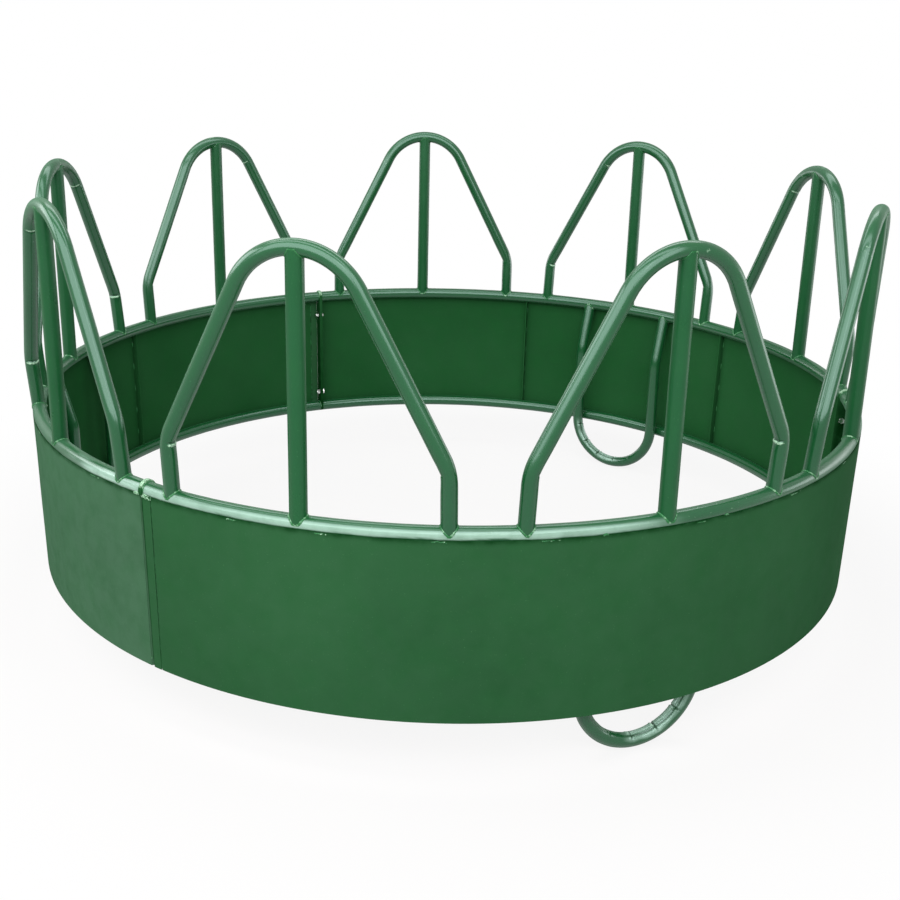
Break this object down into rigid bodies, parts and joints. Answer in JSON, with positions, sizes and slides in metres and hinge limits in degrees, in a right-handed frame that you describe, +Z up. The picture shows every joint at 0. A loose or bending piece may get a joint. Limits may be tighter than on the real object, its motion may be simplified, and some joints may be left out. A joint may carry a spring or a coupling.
{
  "type": "horse hay feeder",
  "caption": "Round steel hay feeder ring in bolted segments: sheet skirt between two tube rails, tall barred tombstone loops on top and U-shaped tube feet below.",
  "frame": {"origin": "ground level, on the ring's vertical axis, level with the undersides of the three feet", "axes": "+Z up along the ring's axis; segment a, with its foot and middle loop, is centred on -Y; +X is to the right when facing segment a from outside"},
  "size_m": [2.4456, 2.4462, 1.2469],
  "materials": {
    "green_enamel": "glossy dark green enamel over welded tube and sheet steel",
    "zinc_plated_steel": "bright zinc plating"
  },
  "bodies": {
    "root": {"top_rail_a": "green_enamel", "bottom_rail_a": "green_enamel", "skirt_sheet_a": "green_enamel", "joint_strip_a": "green_enamel", "foot_loop_a": "green_enamel", "end_plate_a_left": "green_enamel", "end_plate_a_right": "green_enamel", "skirt_rib_a1": "green_enamel", "skirt_rib_a2": "green_enamel", "tombstone_loop_a1": "green_enamel", "centre_bar_a1": "green_enamel", "tombstone_loop_a2": "green_enamel", "centre_bar_a2": "green_enamel", "tombstone_loop_a3": "green_enamel", "centre_bar_a3": "green_enamel", "top_rail_b": "green_enamel", "bottom_rail_b": "green_enamel", "skirt_sheet_b": "green_enamel", "joint_strip_b": "green_enamel", "foot_loop_b": "green_enamel", "end_plate_b_left": "green_enamel", "end_plate_b_right": "green_enamel", "skirt_rib_b1": "green_enamel", "skirt_rib_b2": "green_enamel", "tombstone_loop_b1": "green_enamel", "centre_bar_b1": "green_enamel", "tombstone_loop_b2": "green_enamel", "centre_bar_b2": "green_enamel", "tombstone_loop_b3": "green_enamel", "centre_bar_b3": "green_enamel", "top_rail_c": "green_enamel", "bottom_rail_c": "green_enamel", "skirt_sheet_c": "green_enamel", "joint_strip_c": "green_enamel", "foot_loop_c": "green_enamel", "end_plate_c_left": "green_enamel", "end_plate_c_right": "green_enamel", "skirt_rib_c1": "green_enamel", "skirt_rib_c2": "green_enamel", "tombstone_loop_c1": "green_enamel", "centre_bar_c1": "green_enamel", "tombstone_loop_c2": "green_enamel", "centre_bar_c2": "green_enamel", "tombstone_loop_c3": "green_enamel", "centre_bar_c3": "green_enamel", "joint_bolt_ab_upper": "zinc_plated_steel", "joint_nut_ab_upper": "zinc_plated_steel", "joint_bolt_ab_lower": "zinc_plated_steel", "joint_nut_ab_lower": "zinc_plated_steel", "joint_bolt_bc_upper": "zinc_plated_steel", "joint_nut_bc_upper": "zinc_plated_steel", "joint_bolt_bc_lower": "zinc_plated_steel", "joint_nut_bc_lower": "zinc_plated_steel", "joint_bolt_ca_upper": "zinc_plated_steel", "joint_nut_ca_upper": "zinc_plated_steel", "joint_bolt_ca_lower": "zinc_plated_steel", "joint_nut_ca_lower": "zinc_plated_steel"}
  },
  "joints": []
}
